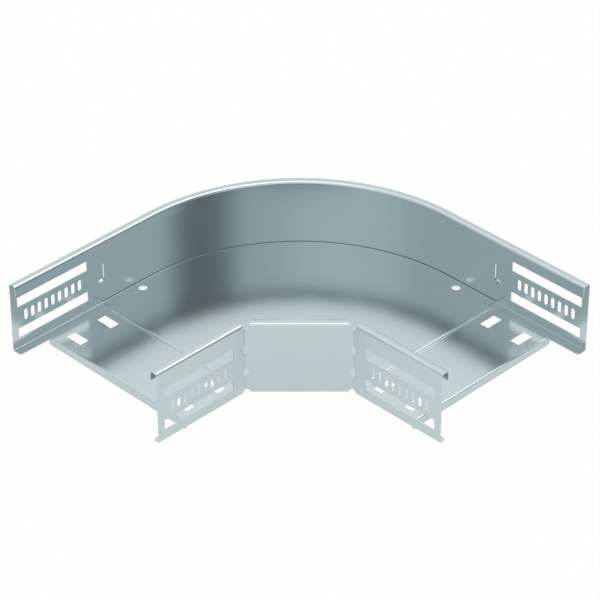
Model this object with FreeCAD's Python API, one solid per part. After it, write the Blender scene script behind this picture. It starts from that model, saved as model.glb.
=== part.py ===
import FreeCAD, Part
import math
import os

# A horizontal 90 degree bend for a cable tray, folded from three sheets: a curved outer
# side rail, a faceted inner side rail and a floor that joins them.
#
# It is modelled about the corner where the inner rail's two outside faces would meet.
# One leg runs along -X, and the other is its mirror image along -Y. Heights count from
# the underside of the side rails. The finished pieces are then moved, so that the origin
# lies under the middle of the whole part, on the surface that it stands on.

# Driving dimensions, in millimetres
sheet = 1.25                 # thickness of all three sheets
clear_width = 300.0          # between the two side rails
side_height = 115.0          # underside of a rail to the top of its hem
leg_reach = 268.0            # inner corner to the end of a leg
bend_setback = 104.0         # inner corner to the lines where the inner rail is bent
curve_setback = 6.0          # inner corner to the ends of the outer rail's curve
fold_radius = 1.0            # inside radius of a plain fold
whole_turn = 90.0            # degrees between the two legs
facet_turn = whole_turn / 2  # degrees at each of the inner rail's two bend lines

# Side rails
outer_flange = 16.0          # width of the outer rail's foot under the floor
inner_flange = 12.0          # width of the inner rail's foot under the floor
flange_corner = 4.5          # rounded ends of the feet
hem_width = 13.4             # the rolled top, over its outside faces
hem_depth = 15.5             # drop of the hem's return lip
hem_radius = 1.75            # inside radius of the hem's shoulders

# Slots near the ends of the rails
slot_end_margin = 11.5       # end of the leg to the long slots
slot_bend_margin = 23.0      # long slots to the inner rail's bend line
lower_slot_base = 17.0       # underside of the rail to the lower long slot
hem_to_slot = 30.0           # top of the hem to the upper long slot
long_slot_share = 4 / 17     # a long slot's upward width, as a share of the height they all take
short_slot_gap = 9.25        # between the short slots and the long slots above and below
short_slot_width = 6.5
short_slot_corner = 1.9      # corners cut off to make the ends nearly round
short_slot_pitch = 12.5
short_slot_margin = 12.0     # least distance from a long slot's end to the row's first centre

# Reliefs at the inner rail's bend lines
notch_radius = 6.0           # half-round notch at the top and foot of the bend
top_notch_depth = 9.0        # below the top of the hem
relief_width = 8.0
relief_height = 15.0
relief_centres = (34.6, 73.0)
hem_end_cut = 8.0            # how far the middle facet's hem ends are cut back

# Stop lug and slit in the outer rail, near the inner rail's bend line
lug_offset = 1.0             # bend line out to the lug's open edge
lug_length = 11.0            # from its open edge to its point
lug_low = 34.5
lug_high = 42.2
lug_nose = 37.7              # height of the nose on the open edge
lug_press = 2.8              # how far the nose stands into the tray
slit_inset = 8.0             # bend line in to the slit
slit_width = 1.8
slit_low = 42.2
slit_high = 66.5

# Floor
floor_edge_gap = 1.75        # between the floor's edges and the webs of the rails
floor_end_setback = 58.5     # end of the leg to the front of the floor
floor_side_inset = 9.0       # outside of the rails to the sides of the lowered floor end
floor_lip = 13.2             # drop of the lip below the lowered floor end
lip_corner = 4.0
flange_clearance = 0.5       # between the feet's edges and the ramp
ramp_foot_inset = 1.5        # inner rail's bend line out to the foot of the ramp
ramp_run = 2.5
shelf_inset = 5.7            # bend line in to where the floor stops above the feet
window_length = 16.0         # rectangular holes, along the leg
window_width = 30.0          # rectangular holes, across the leg
window_front = 25.5          # front of the floor to the first pair's centres
window_back = 20.5           # foot of the ramp to the second pair's centres
window_side = 41.5           # outside of the rails to the centres
round_hole = 13.0            # diameter
round_hole_inset = 29.0      # end of the outer rail's curve to the round hole

# Derived places
outer_face = clear_width + 2 * sheet
curve_centre = FreeCAD.Vector(-curve_setback, -curve_setback, 0)
floor_low = 0.0              # top of the lowered floor end, under the feet
floor_top = 2 * sheet        # top of the floor, which lies on the feet
floor_front = leg_reach - floor_end_setback
ramp_foot = bend_setback + ramp_foot_inset
shelf_end = bend_setback - shelf_inset
middle = (outer_face - leg_reach) / 2
upward = FreeCAD.Vector(0, 0, 1)
diagonal = FreeCAD.Vector(1, -1, 0)


def closed_wire(corners, place):
    """Wire through (u, v, radius) corners, each rounded by its radius.

    place(u, v) gives the point in space.
    """
    starts, middles, ends = [], [], []
    for index, (u, v, radius) in enumerate(corners):
        before = corners[index - 1]
        after = corners[(index + 1) % len(corners)]
        corner = FreeCAD.Vector(u, v, 0)
        back = (FreeCAD.Vector(before[0], before[1], 0) - corner).normalize()
        ahead = (FreeCAD.Vector(after[0], after[1], 0) - corner).normalize()
        half = back.getAngle(ahead) / 2
        inwards = (back + ahead).normalize() if radius else ahead
        starts.append(corner + back * (radius / math.tan(half)))
        ends.append(corner + ahead * (radius / math.tan(half)))
        middles.append(corner + inwards * (radius / math.sin(half) - radius))
    edges = []
    for index, (_, _, radius) in enumerate(corners):
        start, middle_point, end = [place(p.x, p.y) for p in (starts[index], middles[index], ends[index])]
        if radius:
            edges.append(Part.Arc(start, middle_point, end).toShape())
        following = starts[(index + 1) % len(corners)]
        next_start = place(following.x, following.y)
        if end.distanceToPoint(next_start) > 1e-6:
            edges.append(Part.makeLine(end, next_start))
    return Part.Wire(edges)


def plate(corners, place, thickness):
    """Solid of an outline, pushed by the vector thickness."""
    return Part.Face(closed_wire(corners, place)).extrude(thickness)


def folded(path, side):
    """Corners of a sheet seen edge on, for closed_wire.

    path lists the (u, v, inside radius) corners of one face. The sheet's thickness lies
    to the right of the path where side is 1, and to its left where side is -1.
    """
    points = [FreeCAD.Vector(u, v, 0) for u, v, _ in path]
    runs = [(b - a).normalize() for a, b in zip(points, points[1:])]
    normals = [FreeCAD.Vector(run.y, -run.x, 0) * side for run in runs]
    face, back = [], []
    for index, point in enumerate(points):
        first = normals[max(index - 1, 0)]
        last = normals[min(index, len(normals) - 1)]
        offset = (first + last) * (sheet / (1 + first.dot(last)))
        inside = path[index][2]
        is_end = index in (0, len(points) - 1)
        wraps = first.cross(last).z * side < 0
        face_radius = 0 if is_end else inside + (sheet if wraps else 0)
        back_radius = 0 if is_end else inside + (0 if wraps else sheet)
        face.append((point.x, point.y, face_radius))
        back.append((point.x + offset.x, point.y + offset.y, back_radius))
    return face + back[::-1]


def rectangle(low_u, high_u, low_v, high_v, radius=0):
    """Corners of a rectangle, rounded where a radius is given."""
    return [(low_u, low_v, radius), (high_u, low_v, radius), (high_u, high_v, radius), (low_u, high_v, radius)]


def blunted(low_u, high_u, low_v, high_v, cut):
    """Corners of a rectangle whose four corners are cut off at 45 degrees."""
    return [
        (low_u + cut, low_v, 0), (high_u - cut, low_v, 0), (high_u, low_v + cut, 0), (high_u, high_v - cut, 0),
        (high_u - cut, high_v, 0), (low_u + cut, high_v, 0), (low_u, high_v - cut, 0), (low_u, low_v + cut, 0),
    ]


def mirrored(shape):
    """The same shape on the other leg."""
    return shape.mirror(FreeCAD.Vector(0, 0, 0), diagonal)


def on_both_legs(shapes):
    """The shapes with their mirror images."""
    return shapes + [mirrored(shape) for shape in shapes]


def joined(shapes):
    """One solid, with no seams where its parts meet flush."""
    return shapes[0].fuse(shapes[1:]).removeSplitter()


def rail_section(flange):
    """Edge-on corners of a side rail: foot, web and hem. u is inwards and v is up."""
    path = [
        (flange, 0, 0),
        (0, 0, fold_radius),
        (0, side_height, hem_radius),
        (hem_width, side_height, hem_radius),
        (hem_width, side_height - hem_depth, 0),
    ]
    return folded(path, 1)


def corner_cutter(corner, along, across, radius, height):
    """What is cut away to round a flat corner. along and across lead into the sheet."""
    def place(u, v):
        return corner + along * u + across * v
    square = plate(rectangle(0, radius, 0, radius), place, upward * height)
    centre = corner + (along + across) * radius
    return square.cut(Part.makeCylinder(radius, height, centre, upward))


def slot_cutters(web_face):
    """Long and short slots through the web whose outside face is at y = web_face."""
    start = -leg_reach + slot_end_margin
    end = -bend_setback - slot_bend_margin
    upper_top = side_height - hem_to_slot
    slot_width = (upper_top - lower_slot_base) * long_slot_share
    upper_base = upper_top - slot_width
    lower_top = lower_slot_base + slot_width
    short_base = lower_top + short_slot_gap
    short_top = upper_base - short_slot_gap
    half_width = short_slot_width / 2
    outlines = [
        rectangle(start, end, lower_slot_base, lower_top),
        rectangle(start, end, upper_base, upper_top),
    ]
    gaps = int((end - start - 2 * short_slot_margin) / short_slot_pitch)
    first = (start + end - gaps * short_slot_pitch) / 2
    for index in range(gaps + 1):
        centre = first + index * short_slot_pitch
        low, high = centre - half_width, centre + half_width
        outlines.append(blunted(low, high, short_base, short_top, short_slot_corner))

    def place(u, v):
        return FreeCAD.Vector(u, web_face - 2 * sheet, v)
    return [plate(outline, place, FreeCAD.Vector(0, 4 * sheet, 0)) for outline in outlines]


def stop_lug():
    """Lug pressed into the tray, open towards the leg's end: its outside, and the hollow behind it."""
    web = outer_face - sheet
    open_edge = -bend_setback - lug_offset
    low = FreeCAD.Vector(open_edge, web, lug_low)
    high = FreeCAD.Vector(open_edge, web, lug_high)
    nose = FreeCAD.Vector(open_edge, web - lug_press, lug_nose)
    point = FreeCAD.Vector(open_edge + lug_length, web, (lug_low + lug_high) / 2)
    triangles = [(low, high, nose), (low, high, point), (low, nose, point), (high, nose, point)]
    faces = [Part.Face(Part.makePolygon([a, b, c, a])) for a, b, c in triangles]
    lug = Part.makeSolid(Part.makeShell(faces))
    hollow = lug.copy()
    hollow.translate(FreeCAD.Vector(0, sheet, 0))
    return lug, hollow


def slit_cutter():
    """The upright slit above the stop lug."""
    centre = -bend_setback + slit_inset

    def place(u, v):
        return FreeCAD.Vector(u, outer_face - 2 * sheet, v)
    outline = rectangle(centre - slit_width / 2, centre + slit_width / 2, slit_low, slit_high)
    return plate(outline, place, FreeCAD.Vector(0, 4 * sheet, 0))


def round_hole_cutter():
    """The round hole, which goes through the floor and through the edge of the outer rail's foot."""
    centre = FreeCAD.Vector(-curve_setback - round_hole_inset, outer_face - outer_flange, -sheet)
    return Part.makeCylinder(round_hole / 2, floor_top + 2 * sheet, centre, upward)


def outer_side_rail():
    """Curved outer rail: straight leg, quarter circle and straight leg, with one section."""
    section = rail_section(outer_flange)
    leg_length = leg_reach - curve_setback

    def at_leg_end(u, v):
        return FreeCAD.Vector(-leg_reach, outer_face - u, v)

    def at_curve(u, v):
        return FreeCAD.Vector(-curve_setback, outer_face - u, v)
    leg = plate(section, at_leg_end, FreeCAD.Vector(leg_length, 0, 0))
    curve = Part.Face(closed_wire(section, at_curve)).revolve(curve_centre, upward, -whole_turn)
    foot_corner = FreeCAD.Vector(-leg_reach, outer_face - outer_flange, 0)
    rounding = corner_cutter(
        foot_corner, FreeCAD.Vector(1, 0, 0), FreeCAD.Vector(0, 1, 0), flange_corner, sheet)
    lug, hollow = stop_lug()
    rail = joined(on_both_legs([leg, lug]) + [curve])
    cutters = slot_cutters(outer_face) + [slit_cutter(), hollow, rounding, round_hole_cutter()]
    return rail.cut(on_both_legs(cutters))


def inner_side_rail():
    """Faceted inner rail: two legs and a middle facet, bent at 45 degrees on two lines."""
    section = rail_section(inner_flange)
    bend_point = FreeCAD.Vector(-bend_setback, 0, 0)
    facet_along = FreeCAD.Vector(1, -1, 0).normalize()
    facet_inwards = FreeCAD.Vector(1, 1, 0).normalize()
    facet_length = bend_setback * math.sqrt(2) - 2 * notch_radius

    def at_leg_end(u, v):
        return FreeCAD.Vector(-leg_reach, u, v)

    def at_facet_end(u, v):
        return bend_point + facet_along * notch_radius + facet_inwards * u + upward * v

    def in_plan(u, v):
        return FreeCAD.Vector(u, v, fold_radius + sheet)
    leg = plate(section, at_leg_end, FreeCAD.Vector(leg_reach - bend_setback - notch_radius, 0, 0))
    facet = plate(section, at_facet_end, facet_along * facet_length)
    web_path = [
        (-leg_reach, 0, 0),
        (-bend_setback, 0, fold_radius),
        (0, -bend_setback, fold_radius),
        (0, -leg_reach, 0),
    ]
    web_height = side_height - hem_radius - fold_radius - 2 * sheet
    web = plate(folded(web_path, -1), in_plan, upward * web_height)
    foot_corner = FreeCAD.Vector(-leg_reach, inner_flange, 0)
    rounding = corner_cutter(
        foot_corner, FreeCAD.Vector(1, 0, 0), FreeCAD.Vector(0, -1, 0), flange_corner, sheet)
    rail = joined(on_both_legs([leg]) + [facet, web])
    return rail.cut(on_both_legs(slot_cutters(0) + bend_reliefs(bend_point) + [rounding]))


def bend_reliefs(bend_point):
    """Notches, oval slots and the slanting end of the middle hem at one bend line."""
    turn = math.radians(facet_turn / 2)
    along = FreeCAD.Vector(math.cos(turn), -math.sin(turn), 0)
    inwards = FreeCAD.Vector(math.sin(turn), math.cos(turn), 0)
    reach = 4 * sheet

    def place(u, v):
        return bend_point + along * u - inwards * reach + upward * v
    cutters = []
    ovals = [
        (notch_radius, -2 * notch_radius, notch_radius),
        (notch_radius, side_height - top_notch_depth, side_height + 2 * notch_radius),
    ]
    for centre in relief_centres:
        ovals.append((relief_width / 2, centre - relief_height / 2, centre + relief_height / 2))
    for radius, low, high in ovals:
        outline = rectangle(-radius, radius, low, high, radius)
        cutters.append(plate(outline, place, inwards * (2 * reach)))
    facet_along = FreeCAD.Vector(1, -1, 0).normalize()
    facet_inwards = FreeCAD.Vector(1, 1, 0).normalize()

    def on_hem(u, v):
        start = bend_point + facet_along * notch_radius + facet_inwards * (2 * sheet)
        return start + facet_along * u + facet_inwards * v + upward * (side_height - hem_depth)
    slanted = [(0, 0, 0), (hem_end_cut, hem_width, 0), (-hem_end_cut, hem_width, 0)]
    cutters.append(plate(slanted, on_hem, upward * (2 * hem_depth)))
    return cutters


def floor_plate():
    """Floor: a flat area on the feet of the rails, and two ends stepped down below them."""
    edge = outer_face - sheet - floor_edge_gap
    facet_offset = (sheet + floor_edge_gap) * math.sqrt(2)
    inner_edge = shelf_end - bend_setback + facet_offset
    curve_radius = edge + curve_setback
    turn = math.radians(whole_turn / 2)
    curve_middle = curve_centre + FreeCAD.Vector(math.cos(turn), math.sin(turn), 0) * curve_radius
    points = [
        FreeCAD.Vector(-curve_setback, edge, 0),
        FreeCAD.Vector(-shelf_end, edge, 0),
        FreeCAD.Vector(-shelf_end, inner_edge, 0),
        FreeCAD.Vector(inner_edge, -shelf_end, 0),
        FreeCAD.Vector(edge, -shelf_end, 0),
        FreeCAD.Vector(edge, -curve_setback, 0),
    ]
    outline = [Part.makeLine(a, b) for a, b in zip(points, points[1:])]
    outline.append(Part.Arc(points[-1], curve_middle, points[0]).toShape())
    main = Part.Face(Part.Wire(outline)).extrude(upward * sheet)
    main.translate(upward * (floor_top - sheet))
    floor = joined([main] + on_both_legs([floor_ramp(), floor_end()]))
    return floor.cut(on_both_legs(floor_cutters()))


def floor_ramp():
    """Strip between the feet that runs from the floor, down the ramp and out to the lip."""
    low = inner_flange + flange_clearance
    high = outer_face - outer_flange - flange_clearance
    path = [
        (-floor_front, -floor_lip, 0),
        (-floor_front, floor_low, fold_radius),
        (-ramp_foot, floor_low, fold_radius),
        (-ramp_foot + ramp_run, floor_top, fold_radius),
        (-shelf_end, floor_top, 0),
    ]

    def place(u, v):
        return FreeCAD.Vector(u, low, v)
    return plate(folded(path, 1), place, FreeCAD.Vector(0, high - low, 0))


def floor_end():
    """Lowered floor end with its lip, which reaches under both feet."""
    low = floor_side_inset
    high = outer_face - floor_side_inset
    path = [
        (-floor_front, -floor_lip, 0),
        (-floor_front, floor_low, fold_radius),
        (-ramp_foot - ramp_run, floor_low, 0),
    ]

    def place(u, v):
        return FreeCAD.Vector(u, low, v)
    return plate(folded(path, 1), place, FreeCAD.Vector(0, high - low, 0))


def floor_cutters():
    """Rectangular windows, the round hole and the lip's rounded corners on one leg."""
    def place(u, v):
        return FreeCAD.Vector(u, v, floor_low - 2 * sheet)
    cutters = [round_hole_cutter()]
    for across in (window_side, outer_face - window_side):
        for along in (-floor_front + window_front, -ramp_foot - window_back):
            window = rectangle(
                along - window_length / 2, along + window_length / 2,
                across - window_width / 2, across + window_width / 2)
            cutters.append(plate(window, place, upward * (3 * sheet)))
    for side, inwards in ((floor_side_inset, 1), (outer_face - floor_side_inset, -1)):
        cutters.append(lip_rounding(side, inwards))
    return cutters


def lip_rounding(side, inwards):
    """What is cut away to round one lower corner of the lip."""
    def place(u, v):
        return FreeCAD.Vector(-floor_front - sheet, side + inwards * u, v - floor_lip)
    square = plate(rectangle(0, lip_corner, 0, lip_corner), place, FreeCAD.Vector(3 * sheet, 0, 0))
    centre = place(lip_corner, lip_corner)
    return square.cut(Part.makeCylinder(lip_corner, 3 * sheet, centre, FreeCAD.Vector(1, 0, 0)))


os.makedirs("parts", exist_ok=True)
pieces = {
    "outer_side_rail": outer_side_rail(),
    "inner_side_rail": inner_side_rail(),
    "floor_plate": floor_plate(),
}
for name, piece in pieces.items():
    piece.translate(FreeCAD.Vector(-middle, -middle, floor_lip))
    piece.exportStep(f"parts/{name}.step")
    print(name, "solids", len(piece.Solids), "valid", piece.isValid(), "volume", round(piece.Volume))
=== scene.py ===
import math

import bpy
import numpy as np
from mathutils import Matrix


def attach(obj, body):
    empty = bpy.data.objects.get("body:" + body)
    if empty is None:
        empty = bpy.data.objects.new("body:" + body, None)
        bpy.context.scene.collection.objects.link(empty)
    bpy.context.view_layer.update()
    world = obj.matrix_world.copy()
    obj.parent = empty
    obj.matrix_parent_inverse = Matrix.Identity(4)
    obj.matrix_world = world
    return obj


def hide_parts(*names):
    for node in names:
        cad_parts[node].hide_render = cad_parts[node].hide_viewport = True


# A horizontal 90 degree bend for a cable tray, in galvanized sheet steel.
#
# The two side rails are drawn here as fine sheets, each a section carried along a path.
# The floor is the model's own. Lengths are in millimetres, counted from the corner where
# the inner rail's outside faces would meet, until a mesh is made of them.

# Sheet and side rails
SHEET = 1.25                    # thickness
OUTER_FACE = 302.5              # outside of the inner rail to outside of the outer rail
RAIL_HEIGHT = 115.0
LEG_REACH = 268.0               # corner to the ends of the legs
BEND_SETBACK = 104.0            # corner to the inner rail's bend lines
CURVE_SETBACK = 6.0             # corner to the ends of the outer rail's curve
FOLD_RADIUS = 1.0
HEM_RADIUS = 2.6
HEM_WIDTH = 13.4
HEM_DEPTH = 15.5
OUTER_FOOT = 16.0               # width of the outer rail's foot
INNER_FOOT = 12.0
FOOT_CORNER = 4.5

# Slots, as (low, high) heights and distances from the end of a leg
LONG_SLOT = (11.5, 141.0)
LONG_SLOT_HEIGHTS = ((17.0, 33.0), (69.0, 85.0))
SHORT_SLOTS = [26.25 + 12.5 * number for number in range(9)]
SHORT_SLOT_WIDTH = 6.5
SHORT_SLOT_HEIGHTS = (42.25, 59.75)

# Reliefs where the inner rail is bent
NOTCH_RADIUS = 6.0
TOP_NOTCH_DEPTH = 9.0
RELIEF_WIDTH = 8.0
RELIEF_HEIGHT = 15.0
RELIEF_CENTRES = (34.6, 73.0)
HEM_END_CUT = 8.0

# Stop lug and slit in the outer rail, and the round hole that the floor and its foot share
LUG_OFFSET = 1.0                # inner rail's bend line out to the lug's open edge
LUG_LENGTH = 11.0
LUG_HEIGHTS = (34.5, 42.2)
LUG_NOSE = 40.4
LUG_PRESS = 2.8
LUG_GAP = 0.4                   # sheared gap at the lug's open edge
SLIT_INSET = 8.0
SLIT_WIDTH = 1.8
SLIT_HEIGHTS = (42.2, 66.5)
ROUND_HOLE = 13.0
ROUND_HOLE_INSET = 29.0         # end of the curve to the hole's centre

# How the middle of the whole part and its lowest point lie from that corner
MIDDLE = 17.25
FLOOR_LIP = 13.2

# Fineness of the meshes
ARC_STEPS = 6                   # in a quarter turn of a fold or of a slot's end
CURVE_STEPS = 90                # in the outer rail's quarter circle
LUG_STEPS = 10                  # over the lug's length, and over its height
LEAST_SPACING = 0.02            # between grid lines
FLAT_BELOW = 0.975              # cosine between a face and its section past which it is drawn flat
NEWTON_STEPS = 6                # that bring the corners of cells onto a hole's outline
SLOPE_STEP = 1e-3               # over which a field's slope is measured
LEAST_STEEPNESS = 0.25          # of a field, squared

# Zinc: its colours, its roughness and the sizes of its marks, in turns per metre
ZINC_DARK = (0.500, 0.583, 0.602, 1.0)
ZINC_LIGHT = (0.542, 0.625, 0.644, 1.0)
CLOUD_SCALE = 22.0
STREAK_SCALES = (6.0, 420.0, 420.0)
GRAIN_SCALE = 1500.0
CLOUD_TONE = 0.6
STREAK_TONE = 0.4
ZINC_ROUGHNESS = 0.17
CLOUD_ROUGHNESS = 0.05
STREAK_ROUGHNESS = 0.015
GRAIN_ROUGHNESS = 0.01
GRAIN_BUMP = 0.015              # strength
GRAIN_DEPTH = 0.0001            # metres

# Sheared edges
CUT_STEEL = (0.56, 0.64, 0.665, 1.0)
CUT_ROUGHNESS = 0.28
MARK_ROUGHNESS = 0.15
MARK_SCALE = 2500.0

# Stage floor, in metres from the part's middle, and its levels of light
WHITE = (1.0, 1.0, 1.0, 1.0)
MATT_WHITE = (0.95, 0.95, 0.95, 1.0)
STAGE_HALF = 30.0
POOL_LEVEL = 1.08               # glow under the part, as metal sees it
POOL_DROP = 0.5                 # how much less it glows far away
POOL_EDGE = (0.6, 1.6)
GLOW_SHARE = 0.7                # of the floor's look that is glow, to every ray that shows a background
CAMERA_GLOW_SHARE = 0.25        # added to that for the camera

# Studio, as metal sees it. A patch is a change of level about a direction: its azimuth from
# the X axis, its elevation, the angles beyond which it is nothing and within which it is
# full, all in degrees, and the change. Heights are those of the direction's Z.
EVEN_LEVEL = 1.0                # what lights matt things
HORIZON_LEVEL = 0.80
HORIZON_TOP = (0.18, 0.50)
GLOW_BEHIND = (75, 5, 45, 15, 0.6)
GLOW_IN_FRONT = (225, 5, 50, 20, 0.5)
DARK_AT_RIGHT = (310, 0, 50, 25, -0.72)
MIDDLE_LEVEL = 0.91
PANEL_BEHIND = (45, 62, 29, 23, 0.32)
PANEL_AT_LEFT = (200, 35, 36, 6, 0.22)
DARK_SCREEN = (278, 35, 20, 8, -0.66)
CEILING_LEVEL = 0.15
CEILING_EDGE = (0.74, 0.84)
PANEL_AT_RIGHT = (335, 62, 25, 15, 1.3)
PANEL_ABOVE = (0, 90, 22, 8, 0.8)

# Camera, fitted to the photograph. Its level distance and height are counted from the corner.
CAMERA_LEVEL = 3339.126
CAMERA_HEIGHT = 2425.868
CAMERA_PITCH = 34.8117          # degrees below level
FOCAL_PIXELS = 2941.339
SHIFT_PIXELS = 0.532
IMAGE_PIXELS = 600.0
SENSOR = 36.0


class Track:
    """A flat line of straight runs and arcs, which turns smoothly from each to the next.

    pieces lists (length, turn in degrees). At a distance d into a piece of curvature k that
    starts at p with heading h, the point is p + d sinc(k d / 2) (cos(h + k d / 2),
    sin(h + k d / 2)), and the heading is h + k d.
    """

    def __init__(self, start, heading, pieces):
        self.lengths = np.array([length for length, _ in pieces])
        self.turns = np.radians([turn for _, turn in pieces])
        self.ends = np.cumsum(self.lengths)
        self.starts = self.ends - self.lengths
        self.headings = math.radians(heading) + np.cumsum(self.turns) - self.turns
        half = self.headings + self.turns / 2
        chords = self.lengths * np.sinc(self.turns / (2 * np.pi))
        steps = np.stack([chords * np.cos(half), chords * np.sin(half)], axis=-1)
        self.points = np.array(start) + np.cumsum(steps, axis=0) - steps

    def at(self, distance):
        """Points and headings at an array of distances."""
        piece = np.clip(np.searchsorted(self.ends, distance, side="right"), 0, len(self.lengths) - 1)
        along = distance - self.starts[piece]
        bent = along * self.turns[piece] / self.lengths[piece]
        chord = along * np.sinc(bent / (2 * np.pi))
        half = self.headings[piece] + bent / 2
        points = self.points[piece] + np.stack([chord * np.cos(half), chord * np.sin(half)], axis=-1)
        return points, self.headings[piece] + bent


def corner_length(radius):
    """Arc length of a right-angled corner."""
    return radius * math.pi / 2


def rail_section(foot):
    """Outside line of a rail seen edge on: foot, web, hem top and return lip. x is inwards."""
    fold = FOLD_RADIUS + SHEET
    shoulder = HEM_RADIUS + SHEET
    return Track((foot, 0.0), 180.0, [
        (foot - fold, 0.0),
        (corner_length(fold), -90.0),
        (RAIL_HEIGHT - fold - shoulder, 0.0),
        (corner_length(shoulder), -90.0),
        (HEM_WIDTH - 2 * shoulder, 0.0),
        (corner_length(shoulder), -90.0),
        (HEM_DEPTH - shoulder, 0.0),
    ])


def web_zero(section):
    """Distance along a section that would be height 0 on its web."""
    return section.starts[2] - FOLD_RADIUS - SHEET


def lines(*groups):
    """Sorted grid lines from several groups, without doubles."""
    merged = np.unique(np.round(np.concatenate([np.atleast_1d(group) for group in groups]), 4))
    keep = np.concatenate([[True], np.diff(merged) > LEAST_SPACING])
    return merged[keep]


def arc_lines(centre, radius):
    """Grid lines that cross a circle at even angles."""
    angles = np.linspace(-np.pi / 2, np.pi / 2, 2 * ARC_STEPS + 1)
    return centre + radius * np.sin(angles)


def section_lines(section):
    """Grid lines over a section: the ends of its pieces, and steps round its folds."""
    folds = [np.linspace(section.starts[piece], section.ends[piece], ARC_STEPS + 1)
             for piece in np.flatnonzero(section.turns)]
    return lines([0.0], section.ends, *folds)


def slot_field(along, up, centre, middle, half_width, half_height, radius):
    """Distance outside a slot with rounded corners, negative within it."""
    across = np.abs(along - centre) - half_width + radius
    over = np.abs(up - middle) - half_height + radius
    outside = np.hypot(np.maximum(across, 0), np.maximum(over, 0))
    return outside + np.minimum(np.maximum(across, over), 0) - radius


def end_slots(distance, up):
    """Field of the long and short slots near one end. distance counts from that end."""
    centre = sum(LONG_SLOT) / 2
    half = (LONG_SLOT[1] - LONG_SLOT[0]) / 2
    fields = [slot_field(distance, up, centre, (low + high) / 2, half, (high - low) / 2, 0)
              for low, high in LONG_SLOT_HEIGHTS]
    low, high = SHORT_SLOT_HEIGHTS
    fields += [slot_field(distance, up, short, (low + high) / 2, SHORT_SLOT_WIDTH / 2,
                          (high - low) / 2, SHORT_SLOT_WIDTH / 2) for short in SHORT_SLOTS]
    return np.minimum.reduce(fields)


def foot_corner(distance, section_distance):
    """Field of what is missing outside the rounded corner of a foot."""
    across = FOOT_CORNER - distance
    over = FOOT_CORNER - section_distance
    in_corner = (across > 0) & (over > 0)
    return np.where(in_corner, FOOT_CORNER - np.hypot(across, over), FOOT_CORNER)


def end_columns():
    """Grid lines along one leg end, for its slots and its foot's rounded corner."""
    shorts = [arc_lines(centre, SHORT_SLOT_WIDTH / 2) for centre in SHORT_SLOTS]
    return lines([0.0], FOOT_CORNER - arc_lines(0, FOOT_CORNER)[ARC_STEPS:], LONG_SLOT, *shorts)


def slot_rows():
    """Grid heights for the long and short slots."""
    low, high = SHORT_SLOT_HEIGHTS
    radius = SHORT_SLOT_WIDTH / 2
    return lines(*LONG_SLOT_HEIGHTS, arc_lines(low + radius, radius)[:ARC_STEPS + 1],
                 arc_lines(high - radius, radius)[ARC_STEPS:])


def cut_grid(columns, rows, field):
    """Grid of distances with holes: cells within the field's negative parts are dropped.

    The corners of the cells on a hole's border are moved onto its outline, by Newton steps
    down the field's slope. Returns both distances at each corner and the cells that stay.
    """
    along, up = np.meshgrid(columns, rows)
    mid_along = (along[1:, 1:] + along[:-1, :-1]) / 2
    mid_up = (up[1:, 1:] + up[:-1, :-1]) / 2
    kept = field(mid_along, mid_up) > 0
    padded = np.pad(kept, 1)
    dropped = np.pad(~kept, 1)
    beside_kept = padded[1:, 1:] | padded[1:, :-1] | padded[:-1, 1:] | padded[:-1, :-1]
    beside_dropped = dropped[1:, 1:] | dropped[1:, :-1] | dropped[:-1, 1:] | dropped[:-1, :-1]
    border = beside_kept & beside_dropped
    step = SLOPE_STEP
    for _ in range(NEWTON_STEPS):
        value = field(along, up)
        slope_along = (field(along + step, up) - field(along - step, up)) / (2 * step)
        slope_up = (field(along, up + step) - field(along, up - step)) / (2 * step)
        steepness = np.maximum(slope_along ** 2 + slope_up ** 2, LEAST_STEEPNESS)
        along = np.where(border, along - value * slope_along / steepness, along)
        up = np.where(border, up - value * slope_up / steepness, up)
    return along, up, kept


def swept(path, section, along, up, inwards_turn, press=None):
    """Points and outward normals of a section carried along a path.

    The point is P(along) + N(along) u(up) + Z v(up), where N is the path's heading turned
    by inwards_turn, and (u, v) is the section's point. press moves it inwards.
    """
    places, headings = path.at(along)
    profile, tilt = section.at(up)
    inwards = np.stack([np.cos(headings + inwards_turn), np.sin(headings + inwards_turn)], axis=-1)
    depth = profile[..., 0] + (0 if press is None else press)
    flat = places + inwards * depth[..., None]
    points = np.concatenate([flat, profile[..., 1:]], axis=-1)
    out = np.concatenate([inwards * -np.sin(tilt)[..., None], np.cos(tilt)[..., None]], axis=-1)
    return points, out


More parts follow.
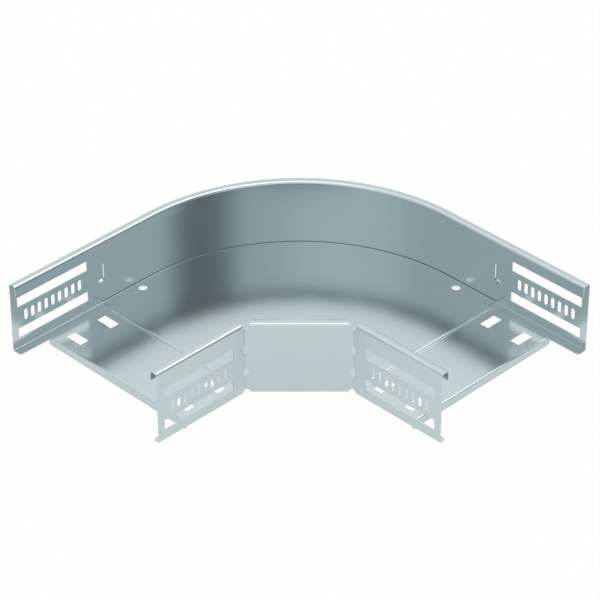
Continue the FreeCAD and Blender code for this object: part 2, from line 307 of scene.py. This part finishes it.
def sheet_piece(name, skin, out, kept, spread, materials):
    """A bent sheet as one closed mesh.

    skin is the grid of points on the outside and out their normals. The back lies one
    thickness behind it, and a wall joins the two along every border of the kept cells.
    Faces that lean away from out, as the lug's do, are drawn flat, and so are the walls.
    spread is the pair of distances that becomes the UV map, in metres.
    """
    back = skin - out * SHEET
    count = skin.shape[0] * skin.shape[1]
    index = np.arange(count).reshape(skin.shape[:2])
    corners = [index[:-1, :-1], index[:-1, 1:], index[1:, 1:], index[1:, :-1]]
    cells = np.stack(corners, axis=-1)[kept]
    points = np.concatenate([skin.reshape(-1, 3), back.reshape(-1, 3)])
    crossing = np.cross(points[cells[:, 2]] - points[cells[:, 0]],
                        points[cells[:, 3]] - points[cells[:, 1]])
    if np.sum(crossing * out.reshape(-1, 3)[cells[:, 0]]) < 0:
        cells = cells[:, ::-1]
    edges = np.stack([cells, np.roll(cells, -1, axis=1)], axis=-1).reshape(-1, 2)
    _, which, times = np.unique(np.sort(edges, axis=1), axis=0,
                                return_inverse=True, return_counts=True)
    rim = edges[times[which.ravel()] == 1]
    walls = np.stack([rim[:, 1], rim[:, 0], rim[:, 0] + count, rim[:, 1] + count], axis=-1)
    faces = np.concatenate([cells, cells[:, ::-1] + count, walls])
    used, renumbered = np.unique(faces, return_inverse=True)
    faces = renumbered.reshape(faces.shape)

    corner = points[used][faces]
    normals = np.concatenate([out.reshape(-1, 3), -out.reshape(-1, 3)])[used][faces]
    flat_normals = np.cross(corner[:, 2] - corner[:, 0], corner[:, 3] - corner[:, 1])
    flat_normals /= np.linalg.norm(flat_normals, axis=1, keepdims=True)
    drawn_flat = np.einsum("fk,fck->fc", flat_normals, normals).min(axis=1) < FLAT_BELOW
    drawn_flat[-len(walls):] = True
    normals[drawn_flat] = flat_normals[drawn_flat, None]

    mesh = bpy.data.meshes.new(name)
    row_points = (points[used] + [-MIDDLE, -MIDDLE, FLOOR_LIP]) / 1000
    mesh.from_pydata(row_points, [], faces)
    mesh.polygons.foreach_set("use_smooth", np.ones(len(faces), bool))
    is_wall = np.arange(len(faces)) >= len(faces) - len(walls)
    mesh.polygons.foreach_set("material_index", is_wall.astype(np.int32))
    uv = np.concatenate([spread.reshape(-1, 2), spread.reshape(-1, 2)])[used][faces] / 1000
    mesh.uv_layers.new(name="along").data.foreach_set("uv", uv.astype(np.float32).ravel())
    mesh.update()
    mesh.normals_split_custom_set(normals.reshape(-1, 3).tolist())
    for material in materials:
        mesh.materials.append(material)
    piece = bpy.data.objects.new(name, mesh)
    bpy.context.scene.collection.objects.link(piece)
    return piece


def outer_rail(materials):
    """Outer rail: a straight leg, a quarter circle and a straight leg."""
    radius = OUTER_FACE + CURVE_SETBACK
    leg = LEG_REACH - CURVE_SETBACK
    path = Track((-LEG_REACH, OUTER_FACE), 0.0, [
        (leg, 0.0), (corner_length(radius), -90.0), (leg, 0.0)])
    section = rail_section(OUTER_FOOT)
    zero = web_zero(section)
    total = path.ends[-1]
    lug = LEG_REACH - BEND_SETBACK - LUG_OFFSET
    slit = LEG_REACH - BEND_SETBACK + SLIT_INSET
    hole = leg - ROUND_HOLE_INSET

    def press(distance, up):
        """How far the lug stands inwards: a ridge, level half way and then down to a point."""
        share = np.clip(2 * (distance - lug) / LUG_LENGTH - 1, 0, 1)
        middle = sum(LUG_HEIGHTS) / 2
        low = LUG_HEIGHTS[0] + share * (middle - LUG_HEIGHTS[0])
        high = LUG_HEIGHTS[1] + share * (middle - LUG_HEIGHTS[1])
        ridge = LUG_NOSE + share * (middle - LUG_NOSE)
        least = 1e-6
        rise = np.minimum((up - low) / np.maximum(ridge - low, least),
                          (high - up) / np.maximum(high - ridge, least))
        beyond_edge = distance > lug - LUG_GAP / 2
        return LUG_PRESS * (1 - share) * np.clip(rise, 0, 1) * beyond_edge

    def field(along, up):
        """Distance outside the nearest hole. Both legs share it."""
        distance = np.minimum(along, total - along)
        height = up - zero
        low, high = LUG_HEIGHTS
        gap = slot_field(distance, height, lug - LUG_GAP / 2, (low + high) / 2,
                         LUG_GAP / 2, (high - low) / 2, 0)
        low, high = SLIT_HEIGHTS
        opening = slot_field(distance, height, slit, (low + high) / 2,
                             SLIT_WIDTH / 2, (high - low) / 2, 0)
        hole_edge = np.hypot(distance - hole, up) - ROUND_HOLE / 2
        return np.minimum.reduce([
            end_slots(distance, height), gap, opening, foot_corner(distance, up), hole_edge])

    lug_columns = np.linspace(lug, lug + LUG_LENGTH, LUG_STEPS + 1)
    near_end = lines(end_columns(), [lug - LUG_GAP], lug_columns,
                     [slit - SLIT_WIDTH / 2, slit + SLIT_WIDTH / 2],
                     arc_lines(hole, ROUND_HOLE / 2), [leg])
    curve_columns = np.linspace(path.starts[1], path.ends[1], CURVE_STEPS + 1)
    columns = lines(near_end, curve_columns, total - near_end)
    lug_rows = np.linspace(*LUG_HEIGHTS, LUG_STEPS + 1)
    web_rows = lines(slot_rows(), lug_rows, [LUG_NOSE], SLIT_HEIGHTS)
    corner_rows = FOOT_CORNER - arc_lines(0, FOOT_CORNER)[ARC_STEPS:]
    hole_rows = arc_lines(0, ROUND_HOLE / 2)[ARC_STEPS:]
    rows = lines(section_lines(section), corner_rows, hole_rows, zero + web_rows)
    along, up, kept = cut_grid(columns, rows, field)
    on_web = (up > section.starts[2]) & (up < section.ends[2])
    pressed = press(np.minimum(along, total - along), up - zero) * on_web
    skin, out = swept(path, section, along, up, -math.pi / 2, pressed)
    spread = np.stack([along, up], axis=-1)
    return sheet_piece("outer_rail_sheet", skin, out, kept, spread, materials)


def inner_rail(materials):
    """Inner rail: two legs and a middle facet, with notches and slots at both bend lines."""
    facet_turn = 45.0
    bend = FOLD_RADIUS * math.radians(facet_turn)
    tangent = FOLD_RADIUS * math.tan(math.radians(facet_turn / 2))
    leg = LEG_REACH - BEND_SETBACK - tangent
    facet = BEND_SETBACK * math.sqrt(2) - 2 * tangent
    path = Track((-LEG_REACH, 0.0), 0.0, [
        (leg, 0.0), (bend, -facet_turn), (facet, 0.0), (bend, -facet_turn), (leg, 0.0)])
    section = rail_section(INNER_FOOT)
    zero = web_zero(section)
    total = path.ends[-1]
    bend_line = leg + bend / 2

    def field(along, up):
        """Distance outside the nearest hole or notch. Both legs share it."""
        distance = np.minimum(along, total - along)
        height = up - zero
        profile, _ = section.at(np.clip(up, 0, section.ends[-1]))
        beside = np.abs(distance - bend_line)
        notch_centre = RAIL_HEIGHT - TOP_NOTCH_DEPTH + NOTCH_RADIUS
        top_notch = np.hypot(beside, np.minimum(profile[..., 1] - notch_centre, 0)) - NOTCH_RADIUS
        low_notch = np.hypot(beside, profile[..., 1]) - NOTCH_RADIUS
        slant = HEM_END_CUT * np.clip((profile[..., 0] - 2 * SHEET) / HEM_WIDTH, 0, 1)
        hem_gap = beside - NOTCH_RADIUS - np.where(distance > bend_line, slant, 0)
        foot_gap = beside - NOTCH_RADIUS
        notches = np.select(
            [up >= section.starts[4], up >= section.ends[1], up >= section.starts[1]],
            [hem_gap, np.minimum(top_notch, low_notch), low_notch], foot_gap)
        ovals = [slot_field(distance, height, bend_line, centre, RELIEF_WIDTH / 2, RELIEF_HEIGHT / 2,
                            RELIEF_WIDTH / 2) for centre in RELIEF_CENTRES]
        return np.minimum.reduce([
            end_slots(distance, height), foot_corner(distance, up), notches, *ovals])

    near_bend = lines(arc_lines(bend_line, NOTCH_RADIUS), arc_lines(bend_line, RELIEF_WIDTH / 2),
                      np.linspace(path.starts[1], path.ends[1], ARC_STEPS + 1))
    near_end = lines(end_columns(), near_bend)
    columns = lines(near_end, [total / 2], total - near_end)
    half = (RELIEF_HEIGHT - RELIEF_WIDTH) / 2
    oval_rows = [np.concatenate([arc_lines(centre - half, RELIEF_WIDTH / 2)[:ARC_STEPS + 1],
                                 arc_lines(centre + half, RELIEF_WIDTH / 2)[ARC_STEPS:]])
                 for centre in RELIEF_CENTRES]
    notch_rows = NOTCH_RADIUS * np.cos(np.linspace(0, np.pi / 2, ARC_STEPS + 1))
    top_rows = RAIL_HEIGHT - TOP_NOTCH_DEPTH + NOTCH_RADIUS - notch_rows
    web_rows = lines(slot_rows(), *oval_rows, notch_rows[notch_rows > FOLD_RADIUS + SHEET], top_rows)
    corner_rows = FOOT_CORNER - arc_lines(0, FOOT_CORNER)[ARC_STEPS:]
    rows = lines(section_lines(section), corner_rows, zero + web_rows)
    along, up, kept = cut_grid(columns, rows, field)
    skin, out = swept(path, section, along, up, math.pi / 2)
    spread = np.stack([along, up], axis=-1)
    return sheet_piece("inner_rail_sheet", skin, out, kept, spread, materials)


class Wire:
    """A node's output. Arithmetic on wires and numbers adds the Math nodes that do it."""

    def __init__(self, board, socket):
        self.board = board
        self.socket = socket

    def __add__(self, other):
        return self.board.math("ADD", self, other)

    def __sub__(self, other):
        return self.board.math("SUBTRACT", self, other)

    def __rsub__(self, other):
        return self.board.math("SUBTRACT", other, self)

    def __mul__(self, other):
        return self.board.math("MULTIPLY", self, other)

    __radd__ = __add__
    __rmul__ = __mul__


class Board:
    """The nodes of one material or of the world."""

    def __init__(self, owner):
        owner.use_nodes = True
        self.tree = owner.node_tree
        self.tree.nodes.clear()

    def node(self, kind, settings=None, inputs=None, output=0):
        """Adds a node, sets its settings, then its inputs, and returns one of its outputs."""
        made = self.tree.nodes.new(kind)
        for name, value in (settings or {}).items():
            setattr(made, name, value)
        for name, value in (inputs or {}).items():
            if isinstance(value, Wire):
                self.tree.links.new(value.socket, made.inputs[name])
            else:
                made.inputs[name].default_value = value
        return Wire(self, made.outputs[output]) if made.outputs else made

    def math(self, operation, first, second):
        """One sum of two numbers or wires."""
        return self.node("ShaderNodeMath", {"operation": operation}, {0: first, 1: second})

    def noise(self, place, scale, detail, roughness=0.5):
        """Noise between 0 and 1 about 0.5."""
        return self.node("ShaderNodeTexNoise", {"noise_dimensions": "3D"}, {
            "Vector": place, "Scale": scale, "Detail": detail, "Roughness": roughness})

    def stretched(self, place, scales):
        """The same place with its three directions scaled apart."""
        return self.node("ShaderNodeMapping", {"vector_type": "POINT"}, {
            "Vector": place, "Scale": scales})

    def ramp(self, value, low, high):
        """0 below low, 1 above high and smooth between them."""
        return self.node("ShaderNodeMapRange", {"interpolation_type": "SMOOTHSTEP"}, {
            "Value": value, "From Min": low, "From Max": high})

    def blend(self, factor, first, second):
        """A colour between two colours."""
        return self.node("ShaderNodeMix", {"data_type": "RGBA"}, {
            "Factor": factor, "A": first, "B": second}, output="Result")


def zinc(name, from_uv):
    """Strip-galvanized zinc: soft clouds, faint streaks along the strip and a fine grain."""
    material = bpy.data.materials.new(name)
    board = Board(material)
    where = board.node("ShaderNodeTexCoord", output="UV" if from_uv else "Object")
    clouds = board.noise(where, CLOUD_SCALE, 2.0)
    streaks = board.noise(board.stretched(where, STREAK_SCALES), 1.0, 3.0)
    grain = board.noise(where, GRAIN_SCALE, 2.0)
    tone = clouds * CLOUD_TONE + streaks * STREAK_TONE
    shade = board.blend(tone, ZINC_DARK, ZINC_LIGHT)
    dullness = (ZINC_ROUGHNESS + clouds * CLOUD_ROUGHNESS + streaks * STREAK_ROUGHNESS
                + grain * GRAIN_ROUGHNESS)
    bump = board.node("ShaderNodeBump", None, {
        "Strength": GRAIN_BUMP, "Distance": GRAIN_DEPTH, "Height": grain})
    shader = board.node("ShaderNodeBsdfPrincipled", None, {
        "Base Color": shade, "Roughness": dullness, "Metallic": 1.0, "Normal": bump})
    board.node("ShaderNodeOutputMaterial", None, {"Surface": shader})
    return material


def cut_edge():
    """Sheared edge of the sheet: duller than its zinc, with fine marks."""
    material = bpy.data.materials.new("cut_edge_steel")
    board = Board(material)
    where = board.node("ShaderNodeTexCoord", output="Object")
    marks = board.noise(where, MARK_SCALE, 2.0)
    shader = board.node("ShaderNodeBsdfPrincipled", None, {
        "Base Color": CUT_STEEL, "Roughness": CUT_ROUGHNESS + marks * MARK_ROUGHNESS, "Metallic": 1.0})
    board.node("ShaderNodeOutputMaterial", None, {"Surface": shader})
    return material


def seen_directly(board):
    """1 for rays that show a background: from the camera, off metal or through glass."""
    def path_kind(output):
        return board.node("ShaderNodeLightPath", output=output)

    direct = board.math("MAXIMUM", path_kind("Is Camera Ray"), path_kind("Is Glossy Ray"))
    return board.math("MAXIMUM", direct, path_kind("Is Transmission Ray"))


def stage_floor():
    """A wide white floor under the part, which takes its shadow and can't be seen from below.

    To rays that show a background it glows in part, most of all under the part, so that
    metal sees a lit pool there. To the camera the glow is plain white everywhere.
    """
    corners = [(x * STAGE_HALF, y * STAGE_HALF, 0) for x, y in ((-1, -1), (1, -1), (1, 1), (-1, 1))]
    mesh = bpy.data.meshes.new("stage_floor")
    mesh.from_pydata(corners, [], [(0, 1, 2, 3)])
    floor = bpy.data.objects.new("stage_floor", mesh)
    bpy.context.scene.collection.objects.link(floor)
    material = bpy.data.materials.new("white_floor")
    board = Board(material)
    where = board.node("ShaderNodeTexCoord", output="Object")
    away = board.node("ShaderNodeVectorMath", {"operation": "LENGTH"}, {0: where}, output="Value")
    camera_ray = board.node("ShaderNodeLightPath", output="Is Camera Ray")
    pool = POOL_LEVEL - board.ramp(away, *POOL_EDGE) * POOL_DROP
    glow = pool + camera_ray * (1 - pool)
    share = seen_directly(board) * GLOW_SHARE + camera_ray * CAMERA_GLOW_SHARE
    matt = board.node("ShaderNodeBsdfDiffuse", None, {"Color": MATT_WHITE})
    bright = board.node("ShaderNodeEmission", None, {"Color": WHITE, "Strength": glow})
    lit = board.node("ShaderNodeMixShader", None, {0: share, 1: matt, 2: bright})
    clear = board.node("ShaderNodeBsdfTransparent", None, {"Color": WHITE})
    below = board.node("ShaderNodeNewGeometry", output="Backfacing")
    surface = board.node("ShaderNodeMixShader", None, {0: below, 1: lit, 2: clear})
    board.node("ShaderNodeOutputMaterial", None, {"Surface": surface})
    mesh.materials.append(material)


def studio():
    """World: white to the camera, even to matt things, and a soft studio to metal.

    Metal sees three bands, the horizon, the middle and the ceiling, which blend into each
    other. Soft patches in them are brighter or darker, as the values at the top say.
    """
    world = bpy.data.worlds.new("studio")
    bpy.context.scene.world = world
    board = Board(world)
    where = board.node("ShaderNodeTexCoord", output="Generated")
    height = board.node("ShaderNodeSeparateXYZ", None, {"Vector": where}, output="Z")
    above = board.ramp(height, *HORIZON_TOP)

    def patch(azimuth, elevation, outer, inner, change):
        """change * smoothstep(cos outer, cos inner, ray . direction)."""
        azimuth, elevation = math.radians(azimuth), math.radians(elevation)
        level = math.cos(elevation)
        towards = (level * math.cos(azimuth), level * math.sin(azimuth), math.sin(elevation))
        nearness = board.node("ShaderNodeVectorMath", {"operation": "DOT_PRODUCT"}, {
            0: where, 1: towards}, output="Value")
        least, most = math.cos(math.radians(outer)), math.cos(math.radians(inner))
        return board.ramp(nearness, least, most) * change

    horizon = HORIZON_LEVEL + patch(*GLOW_BEHIND) + patch(*DARK_AT_RIGHT) + patch(*GLOW_IN_FRONT)
    middle = MIDDLE_LEVEL + patch(*PANEL_BEHIND) + patch(*PANEL_AT_LEFT) + patch(*DARK_SCREEN)
    ceiling = board.ramp(height, *CEILING_EDGE) * CEILING_LEVEL
    overhead = ceiling + patch(*PANEL_AT_RIGHT) + patch(*PANEL_ABOVE)
    shown = horizon * (1 - above) + above * middle + overhead
    camera_ray = board.node("ShaderNodeLightPath", output="Is Camera Ray")
    seen = EVEN_LEVEL + seen_directly(board) * (shown - EVEN_LEVEL)
    strength = seen + camera_ray * (1 - seen)
    background = board.node("ShaderNodeBackground", None, {"Color": WHITE, "Strength": strength})
    board.node("ShaderNodeOutputWorld", None, {"Surface": background})


def camera():
    """Camera where the photograph was taken from, looking down along the bend's diagonal."""
    data = bpy.data.cameras.new("camera")
    data.sensor_width = SENSOR
    data.lens = FOCAL_PIXELS / IMAGE_PIXELS * SENSOR
    data.shift_x = SHIFT_PIXELS / IMAGE_PIXELS
    made = bpy.data.objects.new("camera", data)
    across = -(CAMERA_LEVEL / math.sqrt(2) + MIDDLE) / 1000
    made.location = (across, across, (CAMERA_HEIGHT + FLOOR_LIP) / 1000)
    made.rotation_euler = (math.radians(90 - CAMERA_PITCH), 0, math.radians(-45))
    bpy.context.scene.collection.objects.link(made)
    bpy.context.scene.camera = made


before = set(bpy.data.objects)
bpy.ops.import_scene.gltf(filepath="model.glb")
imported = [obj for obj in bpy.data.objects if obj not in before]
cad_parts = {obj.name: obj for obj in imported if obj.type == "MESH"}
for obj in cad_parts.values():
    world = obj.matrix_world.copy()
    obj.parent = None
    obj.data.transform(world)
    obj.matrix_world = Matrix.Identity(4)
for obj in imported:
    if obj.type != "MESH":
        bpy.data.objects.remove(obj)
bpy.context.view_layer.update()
camera()
studio()
stage_floor()

edge = cut_edge()
rail_zinc = zinc("rail_zinc", True)
for piece, node in ((outer_rail([rail_zinc, edge]), "outer_side_rail"),
                    (inner_rail([rail_zinc, edge]), "inner_side_rail")):
    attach(piece, "root")
    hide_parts(node)

floor_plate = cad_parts["floor_plate"]
floor_plate.data.materials.clear()
floor_plate.data.materials.append(zinc("floor_zinc", False))

bpy.context.scene.view_settings.view_transform = "Standard"
